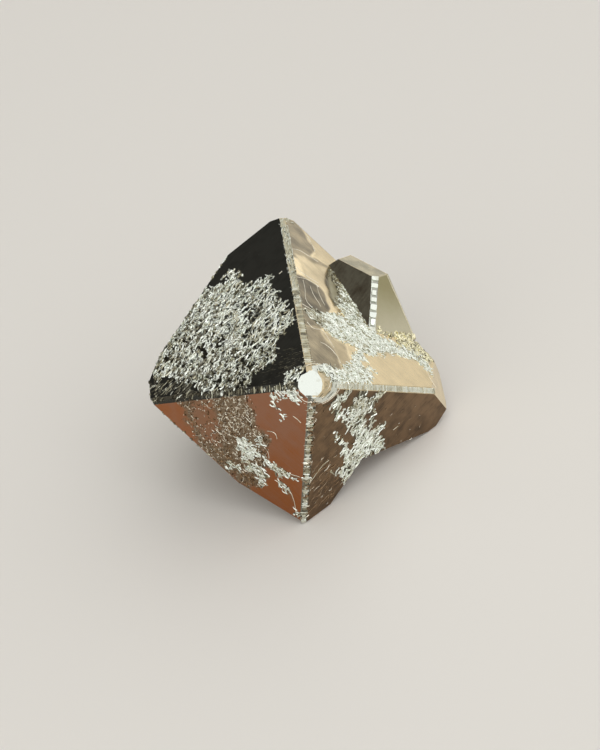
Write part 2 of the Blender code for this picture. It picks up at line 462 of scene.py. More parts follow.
# Lines round the front corner, read off the photograph: points, width and tone.
APEX_LINES = (
    (((317, 365), (328, 366), (335, 374), (338, 384), (336, 392), (329, 399), (321, 403)), 4.0, 1.3),
    # A dark line just outside the terrace's rim: painted shadow.
    (((341, 384), (339, 394), (332, 402), (323, 406)), 1.2, -0.6),
    (((321, 370), (328, 374), (332, 383), (330, 391), (322, 399)), 1.4, 0.1),
    (((325, 379), (328, 379), (330, 384), (328, 389), (325, 390)), 2.4, 0.9),
    (((322, 404), (328, 401), (334, 396), (339, 390), (341, 384)), 3.0, 1.2),
    (((325, 382), (327, 383), (327, 386), (325, 387)), 0.8, 0.2),
    (((295, 390), (298, 394), (302, 399), (307, 402), (314, 402), (320, 400), (324, 396)), 3.0, 1.2),
    # A dark line under the plate's rim: painted shadow.
    (((296, 386), (299, 393), (304, 397.5), (312, 398.5), (319, 397.5), (323, 393)), 1.8, -0.6),
    (((301, 369), (306, 366), (312, 364), (318, 364)), 1.2, 1.0),
    (((303, 363), (309, 361), (315, 362)), 1.2, 0.7),
    (((333, 374), (336, 384), (333, 392), (327, 398)), 0.9, -0.3),
    (((304, 403), (312, 405), (320, 403)), 1.4, 0.9),
)
# The plate takes the full clean colour, near white: a painted highlight.
PLATE_TONE = 1.2
PLATE_HEIGHT = 0.05             # mm

FLOOR_RADIUS = 3.4              # m
FLOOR_SIDES = 64
FLOOR_ROUGHNESS = 0.9
CLIP_START = 0.005              # m, nearer than that the camera sees nothing
KEY_SIZE = 0.75                 # m
KEY_DISTANCE = 0.90             # m
KEY_AZIMUTH = 168.0             # degrees from the rear, through the right
KEY_ELEVATION = 42.0
ROOM_LIGHT = (1.0, 0.985, 0.96, 1.0)    # linear, a little warm
BACKDROP = 0.75                 # share of the room's brightness that the camera sees behind the floor
# Dark cards of the room: azimuth and elevation of the middle, degrees from there to where the dark
# is full and to where it ends, and its brightness.
SHADES = (
    (-24.0, 36.0, 22.0, 40.0, 0.06),
    (-79.0, 18.0, 12.0, 24.0, 0.15),
    (-84.0, 61.0, 12.0, 26.0, 0.22),
    (168.0, 42.0, 14.0, 23.0, 0.10),
)


def linear(code):
    """A hex sRGB colour as linear red, green and blue."""
    parts = [int(code[start:start + 2], 16) / 255 for start in (1, 3, 5)]
    return [part / 12.92 if part <= 0.04045 else ((part + 0.055) / 1.055) ** 2.4 for part in parts]


def crystal_axes():
    """The turn from the crystal's axes to the world's: resting face down, front corner to -Y."""
    up = -Vector(RESTING).normalized()
    front = Vector((0, 0, 1))
    back = (up * front.dot(up) - front).normalized()
    return Matrix((back.cross(up), back, up))


def camera_axes():
    """The camera's right, up and back in the world."""
    across = math.cos(CAMERA_ELEVATION)
    back = Vector((math.sin(CAMERA_AZIMUTH) * across, -math.cos(CAMERA_AZIMUTH) * across,
                   math.sin(CAMERA_ELEVATION)))
    level = Vector((0, 0, 1)).cross(back).normalized()
    upright = back.cross(level)
    right = level * math.cos(CAMERA_ROLL) + upright * math.sin(CAMERA_ROLL)
    return right, back.cross(right), back


AXES = crystal_axes()
SMALL_AXES = AXES @ Euler([math.radians(angle) for angle in SMALL_TURN]).to_matrix()
CAMERA_AXES = camera_axes()
RIGHT, UP, BACK = (np.array(axis) for axis in CAMERA_AXES)
FRONT = np.array(AXES @ Vector((0, 0, 1)))


def face_directions():
    """Every named flat's direction in the world."""
    large = {name: AXES @ Vector(axes).normalized()
             for name, axes in (LARGE_FACES | LARGE_BEVELS).items()}
    small = {name: SMALL_AXES @ Vector(axes).normalized() for name, axes in SMALL_FACES.items()}
    return {**large, **small}


def merged_solid():
    """The packed solid with its corners merged and each flat a single face."""
    bm = bmesh.new()
    bm.from_mesh(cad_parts[NODE].data)
    bmesh.ops.remove_doubles(bm, verts=bm.verts[:], dist=MERGE)
    bmesh.ops.dissolve_limit(bm, angle_limit=FLAT_ANGLE, verts=bm.verts[:], edges=bm.edges[:])
    return bm


def face_planes():
    """Each named flat's direction, its distance from the world's origin and its corners, in mm."""
    bm = merged_solid()
    planes = {}
    for name, direction in face_directions().items():
        flat = max(bm.faces, key=lambda face: (face.normal.dot(direction) > SAME_FLAT) * face.calc_area())
        corners = np.array([corner.co for corner in flat.verts]) / MM
        planes[name] = (np.array(direction), float(np.mean(corners @ np.array(direction))), corners)
    bm.free()
    return planes


PLANES = face_planes()


def crystal_centre():
    """The large crystal's centre in the world, in mm: behind the point where its front faces meet."""
    names = ("upper left", "upper right", "lower left")
    directions = np.array([PLANES[name][0] for name in names])
    distances = np.array([PLANES[name][1] for name in names])
    return np.linalg.solve(directions, distances) - FRONT * APEX_DISTANCE


CENTRE = crystal_centre()


# Reading the photograph's places

def picture_places(points):
    """Where points in the world, in mm, lie in the photograph."""
    seen = points - np.array(CAMERA_PLACE)
    depth = -(seen @ BACK)
    across = PHOTO_WIDTH / 2 + FOCAL * (seen @ RIGHT) / depth
    down = PHOTO_HEIGHT / 2 - FOCAL * (seen @ UP) / depth
    return np.stack([across, down], axis=1)


def place_on_face(x, y, face):
    """The point of a named face, in mm, that the photograph shows at that pixel."""
    ray = RIGHT * (x - PHOTO_WIDTH / 2) / FOCAL - UP * (y - PHOTO_HEIGHT / 2) / FOCAL - BACK
    normal, distance, _ = PLANES[face]
    start = np.array(CAMERA_PLACE)
    return start + ray * (distance - start @ normal) / (ray @ normal)


def outline_depth(places, outline):
    """How far inside a closed outline each place lies, in pixels: negative outside."""
    starts = np.array(outline, float)
    ends = np.roll(starts, -1, axis=0)
    nearest = np.full(len(places), np.inf)
    inside = np.zeros(len(places), bool)
    for start, end in zip(starts, ends):
        run = end - start
        share = np.clip((places - start) @ run / (run @ run), 0, 1)
        nearest = np.minimum(nearest, np.linalg.norm(places - start - share[:, None] * run, axis=1))
        spans = (start[1] > places[:, 1]) != (end[1] > places[:, 1])
        if run[1]:
            crossing = start[0] + run[0] * (places[:, 1] - start[1]) / run[1]
            inside ^= spans & (places[:, 0] < crossing)
    return np.where(inside, nearest, -nearest)


def stroke_depth(places, stroke):
    """How far inside a stroke each place lies, in pixels: negative outside."""
    points = np.array(stroke, float)
    deepest = np.full(len(places), -np.inf)
    for start, end in itertools.pairwise(points):
        run = end[:2] - start[:2]
        share = np.clip((places - start[:2]) @ run / (run @ run), 0, 1)
        away = np.linalg.norm(places - start[:2] - share[:, None] * run, axis=1)
        deepest = np.maximum(deepest, start[2] + share * (end[2] - start[2]) - away)
    return deepest


def smooth_step(values, low, high):
    """0 below low, 1 above high, and smooth between."""
    share = np.clip((values - low) / (high - low), 0, 1)
    return share * share * (3 - 2 * share)


def lumps(points, size, seed):
    """Smooth noise from -1 to 1 over points in mm, in lumps of that size in mm."""
    lattice = np.random.default_rng(seed).uniform(-1, 1, (NOISE_CELLS,) * 3)
    place = points / size
    cell = np.floor(place).astype(int)
    part = place - cell
    part = part * part * (3 - 2 * part)
    total = np.zeros(len(points))
    for corner in itertools.product((0, 1), repeat=3):
        index = (cell + corner) % NOISE_CELLS
        weight = np.prod(np.where(corner, part, 1 - part), axis=1)
        total += weight * lattice[index[:, 0], index[:, 1], index[:, 2]]
    return total


def layered(points, layers, seed):
    """Smooth noise in layers, which take one seed after another. Each has its share and its size."""
    return sum(share * lumps(points, size, seed + order) for order, (share, size) in enumerate(layers))


# Settings that a user would change

def length(name, description, default):
    """A length in metres, given here in mm."""
    return FloatProperty(name=name, description=description, default=default * MM, min=0.0, precision=5,
                         subtype="DISTANCE", unit="LENGTH")


def colour(name, description, code):
    """A colour, given here as sRGB hex."""
    return FloatVectorProperty(name=name, description=description, default=linear(code), size=3,
                               subtype="COLOR", min=0.0, max=1.0)


class SurfaceSettings(bpy.types.PropertyGroup):
    """The relief of the crystal's faces."""

    cell: length("Cell", "Spacing of the cuts that divide the faces", 0.22)
    swell: length("Swell", "Height of the broad waves on a growth face", 0.010)
    swell_size: length("Swell size", "Width of the broad waves", 5.0)
    step: length("Step", "Height between the lightest and darkest film of the upper right face", 0.035)
    etch: length("Etch", "Height of the rough ground under the crust", 0.035)


class CrustSettings(bpy.types.PropertyGroup):
    """The crust of tiny crystals."""

    spacing: length("Spacing", "Least distance between two strands", 0.36)
    strand: length("Strand", "Length of the longest strands", 2.0)
    thickness: length("Thickness", "Half the width of a strand", 0.17)
    bend: length("Bend", "How far the strands wind to the side", 2.6)
    bend_size: length("Bend size", "Length of one winding", 0.7)
    roll: length("Roll", "How far the strands rise and fall", 0.4)
    seed: IntProperty(name="Seed", description="Which of many like crusts it is", default=4)


class EdgeSettings(bpy.types.PropertyGroup):
    """The steps across the bevelled edges."""

    rung_pitch: length("Rung pitch", "From one rung of a bevel to the next", 0.5)
    line: length("Line", "Half the width of a growth line", 0.07)


class ColourSettings(bpy.types.PropertyGroup):
    """The metal's colours under their films of tarnish."""

    # Lighter than pyrite's own colour, near white: a painted highlight on the crust, the edges and the plate.
    clean: colour("Clean", "Fresh pyrite of the crust and edges", "#E9EEE5")
    warm_clean: colour("Warm clean", "The same under a thin brown film", "#EFE9D8")
    shadow: colour("Shadow", "Dull pyrite between the steps of an edge", "#5F5B4E")
    worn: colour("Worn", "Etched ground under the brown films", "#84735E")
    straw: colour("Straw", "The yellower parts of the crust", "#B1AD95")
    golden: colour("Golden", "The crust beside the small crystal", "#F2EDCB")
    # Pyrite greyed as a painted reflection of the dark room that the upper left face mirrors.
    dark: colour("Dark", "Film of the dark upper left face", "#A5A498")
    cream: colour("Cream", "Lightest film of the upper right face", "#FDEAC0")
    grey_brown: colour("Grey brown", "Darkest film of the upper right face", "#665F4F")
    # The copper and deep copper colours are a painted reflection of warm skin on the lower left face.
    copper: colour("Copper", "Lighter film of the lower left face", "#9C7058")
    deep_copper: colour("Deep copper", "Darker film of the lower left face", "#9E633C")
    # The bronze colour, and the dim colour made from it, are a painted reflection of skin and of shaded floor
    # on the lower right face.
    bronze: colour("Bronze", "Film of the lower right face", "#80674C")
    umber: colour("Umber", "Dark film of the small crystal", "#9C9682")
    khaki: colour("Khaki", "Darker film of the small crystal", "#A7A17E")
    pale_khaki: colour("Pale khaki", "Lighter film of the small crystal", "#D1CDB5")


class StudioSettings(bpy.types.PropertyGroup):
    """The light and the floor."""

    key: FloatProperty(name="Key", description="Power of the large soft light", default=1.7, unit="POWER")
    room: FloatProperty(name="Room", description="Brightness of the room", default=1.12)
    floor: colour("Floor", "The pale floor", "#E9E6E0")


SETTINGS = {
    "pyrite_surface": SurfaceSettings,
    "pyrite_crust": CrustSettings,
    "pyrite_edges": EdgeSettings,
    "pyrite_colours": ColourSettings,
    "pyrite_studio": StudioSettings,
}


# Nodes

def add(tree, kind, sockets=None, **settings):
    """Add a node with its settings. A socket's value is a number, or a node or its socket to link."""
    made = tree.nodes.new(kind)
    for name, value in settings.items():
        setattr(made, name, value)
    for key, value in (sockets or {}).items():
        value = value.outputs[0] if isinstance(value, bpy.types.Node) else value
        if isinstance(value, bpy.types.NodeSocket):
            tree.links.new(value, made.inputs[key])
        else:
            made.inputs[key].default_value = value
    return made


def new_material(name):
    """A material with an empty tree, its Principled shader and its output."""
    material = bpy.data.materials.new(name)
    material.use_nodes = True
    tree = material.node_tree
    tree.nodes.clear()
    shader = add(tree, "ShaderNodeBsdfPrincipled", {"Metallic": 1.0})
    add(tree, "ShaderNodeOutputMaterial", {"Surface": shader.outputs["BSDF"]})
    return material, tree, shader


def opaque(values):
    """A linear colour with full alpha."""
    return (*values[:3], 1.0)


def ramp(tree, factor, stops):
    """A colour ramp: stops are (place, linear colour)."""
    made = add(tree, "ShaderNodeValToRGB", {"Fac": factor})
    elements = made.color_ramp.elements
    while len(elements) < len(stops):
        elements.new(0.5)
    for element, (place, tint) in zip(elements, stops):
        element.position = place
        element.color = opaque(tint)
    return made.outputs["Color"]


def noise(tree, where, size, detail=3.0):
    """Noise on the piece's own coordinates, with lumps of that size in mm."""
    return add(tree, "ShaderNodeTexNoise", {"Vector": where, "Scale": 1 / (size * MM), "Detail": detail})


def film_material(name, low, high, worn, roughness, patch, drift, slant):
    """Pyrite under a film, which runs from low to high with the face's tone attribute: tarnish on some faces,
    a painted reflection on others.

    Patches of that size in mm shift it by up to about half the drift. The striations run at the slant,
    in degrees from the crystal's right axis towards its top. Etched ground is worn and dull."""
    material, tree, shader = new_material(name)
    where = add(tree, "ShaderNodeTexCoord").outputs["Object"]
    tone = add(tree, "ShaderNodeAttribute", attribute_name="tone").outputs["Fac"]
    etched = add(tree, "ShaderNodeAttribute", attribute_name="etched").outputs["Fac"]
    lie = (AXES @ Matrix.Rotation(math.radians(slant), 3, "Z")).to_euler()
    along = add(tree, "ShaderNodeMapping",
                {"Vector": where, "Rotation": lie, "Scale": (STRIATION_LENGTH, 1.0, 1.0)},
                vector_type="TEXTURE")
    striations = noise(tree, along, STRIATION, 1.0)
    cloud = noise(tree, where, patch)
    streaked = add(tree, "ShaderNodeMath", {0: striations, 1: STRIATION_SHARE, 2: cloud},
                   operation="MULTIPLY_ADD")
    shifted = add(tree, "ShaderNodeMath", {0: streaked, 1: drift, 2: -(1 + STRIATION_SHARE) / 2 * drift},
                  operation="MULTIPLY_ADD")
    mixed = add(tree, "ShaderNodeMath", {0: tone, 1: shifted}, operation="ADD", use_clamp=True)
    film = ramp(tree, mixed, ((0.0, low), (1.0, high)))
    # On the dark mirror and bronze films the etched colour is the shadow colour: painted shade between the
    # crust's strands.
    ground = add(tree, "ShaderNodeMix", {0: etched, 6: film, 7: opaque(worn)}, data_type="RGBA")
    tree.links.new(ground.outputs[2], shader.inputs["Base Color"])
    grit = noise(tree, where, GRIT)
    gloss = add(tree, "ShaderNodeMath", {0: etched, 1: ETCH_DULLS, 2: roughness}, operation="MULTIPLY_ADD")
    varied = add(tree, "ShaderNodeMath", {0: grit, 1: GRIT_DULLS, 2: gloss}, operation="MULTIPLY_ADD")
    tree.links.new(varied.outputs[0], shader.inputs["Roughness"])
    bump = add(tree, "ShaderNodeBump",
               {"Height": striations, "Strength": STRIATION_BUMP, "Distance": STRIATION_DEPTH})
    tree.links.new(bump.outputs["Normal"], shader.inputs["Normal"])
    return material


def grain_material(name, tints, roughness):
    """Small crystals, each with its own tone: tints are for the dull, the middling and the bright ones."""
    material, tree, shader = new_material(name)
    where = add(tree, "ShaderNodeTexCoord").outputs["Object"]
    tone = add(tree, "ShaderNodeAttribute", attribute_name="tone").outputs["Fac"]
    cloud = noise(tree, where, CLOUD)
    mixed = add(tree, "ShaderNodeMath", {0: cloud, 1: CLOUD_DRIFT, 2: tone}, operation="MULTIPLY_ADD")
    shifted = add(tree, "ShaderNodeMath", {0: mixed, 1: CLOUD_DRIFT / 2}, operation="SUBTRACT",
                  use_clamp=True)
    tint = ramp(tree, shifted, list(zip(GRAIN_STOPS, tints)))
    tree.links.new(tint, shader.inputs["Base Color"])
    shader.inputs["Roughness"].default_value = roughness
    return material


# Meshes

def link(name, mesh):
    """A new object in the scene, at the origin."""
    made = bpy.data.objects.new(name, mesh)
    bpy.context.scene.collection.objects.link(made)
    return made


def finish_piece(piece):
    """The piece moves with the specimen."""
    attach(piece, BODY)


def set_numbers(mesh, name, values):
    """Store one number a vertex."""
    attribute = mesh.attributes.get(name) or mesh.attributes.new(name, "FLOAT", "POINT")
    attribute.data.foreach_set("value", np.asarray(values, np.float32))


def read_rows(items, name, width, kind=np.float32):
    """One named value of every item, as rows that are so many numbers wide."""
    flat = np.zeros(len(items) * width, kind)
    items.foreach_get(name, flat)
    return flat.reshape(-1, width)


def numbers(mesh, name):
    """Read one number a vertex."""
    return read_rows(mesh.attributes[name].data, "value", 1).ravel()


def mesh_points(mesh):
    """The mesh's vertices in mm."""
    return read_rows(mesh.vertices, "co", 3).astype(float) / MM


def ended(bm, name):
    """The mesh of that name that a bmesh makes. The bmesh is freed."""
    mesh = bpy.data.meshes.new(name)
    bm.to_mesh(mesh)
    bm.free()
    return mesh


def cut(bm, direction, distance, tolerance, clear=False):
    """Cut everything along a plane, and clear away what lies outside it if that is wanted."""
    everything = bm.verts[:] + bm.edges[:] + bm.faces[:]
    return bmesh.ops.bisect_plane(bm, geom=everything, dist=tolerance, plane_co=direction * distance,
                                  plane_no=direction, clear_outer=clear)["geom_cut"]


def divided_solid(cell):
    """The packed solid, cut into a lattice of small triangles along the crystal's own planes."""
    bm = merged_solid()
    for axis in (AXES.col[0], AXES.col[1]):
        places = [corner.co.dot(axis) for corner in bm.verts]
        low, high = min(places), max(places)
        for step in range(int((high - low) / cell)):
            cut(bm, axis, low + (step + 0.5) * cell, MERGE / 2)
    bmesh.ops.triangulate(bm, faces=bm.faces[:], quad_method="SHORT_EDGE")
    return ended(bm, "crystal_body")


def flat_members(points, normals, limit):
    """For each named flat, which points lie on it and face its way: limit is the least cosine."""
    members = {}
    for name, (normal, distance, _) in PLANES.items():
        members[name] = (np.abs(points @ normal - distance) < ON_FLAT) & (normals @ normal > limit)
    return members


def perforated(points, cover, share):
    """Open small holes in a cover, over about that share of it."""
    fine = layered(points, *HOLES)
    bar = np.quantile(fine, share)
    return cover * smooth_step(fine, bar - HOLE_SOFT, bar + HOLE_SOFT)


def ragged(points, depth, reach):
    """Roughen the edge of a patch: depth and reach are in pixels."""
    return depth + reach * layered(points, *RAGGED_RIM)


def seen_patch(points, flat, outlines=(), strokes=(), reach=5.0, soft=2.5):
    """Cover of a flat by outlines and strokes read off the photograph, from 0 to 1."""
    cover = np.zeros(len(points))
    near = points[flat]
    places = picture_places(near)
    best = np.full(len(near), -np.inf)
    for outline in outlines:
        best = np.maximum(best, ragged(near, outline_depth(places, outline), reach))
    for stroke in strokes:
        best = np.maximum(best, ragged(near, stroke_depth(places, stroke), reach * STROKE_REACH))
    cover[flat] = smooth_step(best, -soft / 2, soft)
    return cover


def hidden_patch(points, flat, share, seed):
    """Cover of a flat that the photograph doesn't show: ragged patches over about that share of it."""
    wide = layered(points, HIDDEN_LUMPS, seed)
    bar = np.quantile(wide[flat], 1 - share)
    low, high = HIDDEN_RIM
    return np.where(flat, smooth_step(wide, bar + low, bar + high), 0.0)


def terraced(points):
    """Broad level patches with narrow slopes between, from 0 to 1."""
    wide = LEVEL_MIDDLE + LEVEL_SPREAD * layered(points, *FILM_TERRACES)
    level = np.floor(wide)
    return np.clip((level + smooth_step(wide - level, *LEVEL_SLOPE)) / FILM_LEVELS, 0, 1)


def body_tones(points, flats):
    """The tone of each point's film, from 0 for its darkest to 1 for its lightest."""
    tones = 0.2 + 0.8 * terraced(points)
    places = picture_places(points)
    for name, level in FLAT_TONES.items():
        tones[flats[name]] = level
    flat = flats["upper left"]
    lowest, rise = UPPER_LEFT_TONE
    tones[flat] = lowest + rise * smooth_step(places[flat, 0] - places[flat, 1], *UPPER_LEFT_FADE)
    flat = flats["upper right"]
    near = points[flat]
    wavy = places[flat] + np.stack([lumps(near, WAVER, seed) for seed in WAVER_SEEDS], axis=1) * WAVER
    tone = np.full(len(near), CREAM_TONE)
    for outline, level in UPPER_RIGHT_TONES:
        tone += (level - tone) * smooth_step(outline_depth(wavy, outline), -TONE_RIM, TONE_RIM)
    tones[flat] = tone + FINE_TONE * lumps(near, FINE, FINE_SEED)
    flat = flats["lower left"]
    low = smooth_step(places[flat, 1], *LOWER_LEFT_LOW)
    beside = smooth_step(-places[flat, 0], *LOWER_LEFT_SIDE)
    both, sideways = LOWER_LEFT_DARKENS
    tones[flat] = 1 - both * np.maximum(low, sideways * beside)
    flat = flats["small top"]
    lowest, rise = SMALL_TOP_TONE
    tones[flat] = lowest + rise * lumps(points[flat], FINE, SMALL_TOP_SEED)
    flat = flats["small right"]
    tones[flat] = smooth_step(places[flat, 1], *SMALL_RIGHT_FADE)
    tones[on_terrace(points, APEX_TERRACE)] = RIM_TONE
    tones[on_terrace(points, TERRACE_MIDDLE)] = TERRACE_TONE
    return np.clip(tones, 0, 1)


def on_terrace(points, outline):
    """Which points lie in that outline of the low terrace beside the front corner."""
    front = (points - CENTRE) @ FRONT
    return (outline_depth(picture_places(points), outline) > 0) & (front > APEX_DISTANCE / 2)


def thinning(points, flats):
    """How much of the ground under the crust is etched: less where the strands stand apart."""
    places = picture_places(points)
    thin = smooth_step(places[:, 0] - places[:, 1], *CRUST_THINS)
    return np.where(flats["upper left"], 1 - THINNED * thin, 1.0)


def crust_patches(points, flats):
    """The cover of each patch of crust, by the name of its piece."""
    seen = {
        "crust_upper_left": ("upper left", (UPPER_LEFT_CRUST, APEX_LEFT_CRUST), ()),
        "crust_upper_right": ("upper right", (RIGHT_EDGE_CRUST,), UPPER_RIGHT_STROKES),
        "lace_upper_left": ("upper left", (UPPER_LEFT_LACE,), ()),
        "dark_streaks": ("upper left", (UPPER_LEFT_DARK,), ()),
        "crust_left_edge": ("left bevel", (APEX_LEFT_CRUST,), LEFT_EDGE_STROKES),
        "crust_bottom_edge": ("bottom bevel", (), BOTTOM_EDGE_STROKES),
        "crust_lower_left": ("lower left", (APEX_LEFT_CRUST,), LOWER_LEFT_STROKES),
        "crust_lower_right": ("lower right", (HOLLOW_CRUST,), LOWER_RIGHT_STROKES),
        "band_streaks": ("upper left", (UPPER_LEFT_BAND,), ()),
        "fine_streaks": ("lower right", (LOWER_RIGHT_STREAKS,), ()),
        "sparks": ("lower right", (LOWER_RIGHT_FACE,), ()),
        "crust_top_edge": ("top bevel", (), TOP_EDGE_STROKES),
        "crust_small": ("small right", (), SMALL_STROKES),
        "crust_beside_small": ("upper right", (BESIDE_SMALL_CRUST,), ()),
    }
    patches = {name: seen_patch(points, flats[face], outlines, strokes)
               for name, (face, outlines, strokes) in seen.items()}
    for order, (name, share) in enumerate(HIDDEN_CRUST.items()):
        seed = HIDDEN_SEED + SEED_STEP * order
        patches["crust_" + name.replace(" ", "_")] = hidden_patch(points, flats[name], share, seed)
    lace = patches["lace_upper_left"]
    patches["lace_upper_left"] = lace * patches["crust_upper_left"]
    patches["crust_upper_left"] = (1 - lace) * patches["crust_upper_left"]
    clear = smooth_step(points[:, 2], *FLOOR_GAP)
    return {name: cover * clear for name, cover in patches.items()}


def body_materials(colours):
    """The finishes of the crystal's faces, by name."""
    dark_reflection_low = [part * DARK_END for part in colours.dark]
    dim = [part * BRONZE_END for part in colours.bronze]
    # Each film: its darkest and lightest colour, that of etched ground, and then its roughness, the
    # size of its patches in mm, its drift and its slant.
    films = {
        # The flats of the edges: silvery metal with a slight brassy cast, duller between the steps.
        "bevel_pyrite": (colours.shadow, colours.clean, colours.shadow, 0.16, 2.0, 0.15, 0),
        # An untouched growth face: a mirror that shows the room almost sharply, its grey darkened below
        # pyrite's own as a painted reflection of the dark room. Its etched ground between the crust's strands
        # takes the shadow colour: painted shade in the gaps.
        "dark_mirror_pyrite": (dark_reflection_low, colours.dark, colours.shadow, 0.05, 2.0, 1.4, 45),
        # The thinnest film: straw and cream clouds on a mirror.
        "cream_film_pyrite": (colours.grey_brown, colours.cream, colours.straw, 0.09, 3.0, 0.45, -45),
        # A warm copper colour that still shines: a painted reflection of warm skin, given as a thick brown
        # film.
        "copper_skin_reflection_pyrite": (colours.deep_copper, colours.copper, colours.worn, 0.10, 2.5, 1.6, -45),
        # A greyer brown like old bronze: a painted reflection of skin and of the shaded floor close by. Its
        # etched ground between the crust's strands takes the shadow colour: painted shade in the gaps.
        "bronze_reflection_pyrite": (dim, colours.bronze, colours.shadow, 0.10, 1.6, 2.4, 45),
        # A dark brownish grey film on the small crystal's left face.
        "umber_film_pyrite": (dim, colours.umber, colours.worn, 0.12, 2.0, 1.6, 45),
        # A greenish grey film on its right face.
        "khaki_tarnish_pyrite": (colours.khaki, colours.pale_khaki, colours.straw, 0.14, 4.0, 0.35, -45),
    }
    return {name: film_material(name, *film) for name, film in films.items()}


def assign_faces(mesh, points, finishes):
    """Give each small face the finish of the flat that it lies on. It returns the faces' corners."""
    for material in finishes.values():
        mesh.materials.append(material)
    order = list(finishes)
    corners = read_rows(mesh.polygons, "vertices", SIDES, np.int32)
    normals = read_rows(mesh.polygons, "normal", 3)
    # The smallest rims take the film of the large faces that they lie among.
    index = np.where(normals[:, 2] > 0, order.index("cream_film_pyrite"),
                     order.index("bronze_reflection_pyrite"))
    middles = points[corners].mean(axis=1)
    for name, members in flat_members(middles, normals, ON_FACE).items():
        if name in MATERIALS:
            index[members] = order.index(MATERIALS[name])
    index[on_terrace(middles, APEX_TERRACE)] = order.index(MATERIALS["terrace rim"])
    index[on_terrace(middles, TERRACE_MIDDLE)] = order.index(MATERIALS["terrace"])
    mesh.polygons.foreach_set("material_index", index.astype(np.int32))
    return corners


# Geometry Nodes

def cut_seed(name, cuts, collection):
    """A tiny crystal one unit wide, cut from a block by planes given as (direction, distance)."""
    bm = bmesh.new()
    bmesh.ops.create_cube(bm, size=GRAIN_BLOCK)
    for axes, distance in cuts:
        met = cut(bm, Vector(axes).normalized(), distance, GRAIN_TOLERANCE, clear=True)
        rim = [part for part in met if isinstance(part, bmesh.types.BMEdge)]
        bmesh.ops.edgeloop_fill(bm, edges=rim)
    bmesh.ops.recalc_face_normals(bm, faces=bm.faces[:])
    collection.objects.link(bpy.data.objects.new(name, ended(bm, name)))


def seed_collection():
    """Three shapes of grain: an octahedron with blunt corners, a flat one and a squarish one."""
    collection = bpy.data.collections.new("grain_shapes")
    eight = list(itertools.product((-1, 1), repeat=3))
    blunt = [((1, 0, 0), 0.5), ((-1, 0, 0), 0.5), ((0, 1, 0), 0.45), ((0, -1, 0), 0.5), ((0, 0, 1), 0.42)]
    level = [((0, 0, 1), 0.22), ((0.2, 0, 1), 0.24)]
    square = [((1, 0, 0.1), 0.42), ((-1, 0.1, 0), 0.42), ((0, 1, 0), 0.42), ((0, -1, 0.15), 0.42),
              ((0.1, 0, 1), 0.4)]
    cut_seed("blunt_grain", [(axes, 0.42) for axes in eight] + blunt, collection)
    cut_seed("flat_grain", [(axes, 0.40) for axes in eight] + level, collection)
    cut_seed("square_grain", square + [(axes, 0.60) for axes in eight], collection)
    return collection


def new_tree(name, inputs):
    """A Geometry Nodes tree and its source. Each input has its default, or its kind if it has none."""
    tree = bpy.data.node_groups.new(name, "GeometryNodeTree")
    tree.interface.new_socket("Geometry", in_out="OUTPUT", socket_type="NodeSocketGeometry")
    tree.interface.new_socket("Geometry", in_out="INPUT", socket_type="NodeSocketGeometry")
    for label, default in inputs.items():
        kind = SOCKET_KINDS.get(type(default), default)
        socket = tree.interface.new_socket(label, in_out="INPUT", socket_type=kind)
        if kind != default:
            socket.default_value = default
    return tree, add(tree, "NodeGroupInput").outputs


def end_tree(tree, geometry, material):
    """End a tree in Realize Instances and Set Material."""
    real = add(tree, "GeometryNodeRealizeInstances", {"Geometry": geometry})
    dressed = add(tree, "GeometryNodeSetMaterial", {"Geometry": real, "Material": material})
    add(tree, "NodeGroupOutput", {"Geometry": dressed})


def random_between(tree, low, high, seed, kind="FLOAT"):
    """A random value for each point. Its output depends on the kind."""
    least, most, result = {"FLOAT_VECTOR": (0, 1, 0), "FLOAT": (2, 3, 1), "INT": (4, 5, 2)}[kind]
    made = add(tree, "FunctionNodeRandomValue", {least: low, most: high, "Seed": seed}, data_type=kind)
    return made.outputs[result]


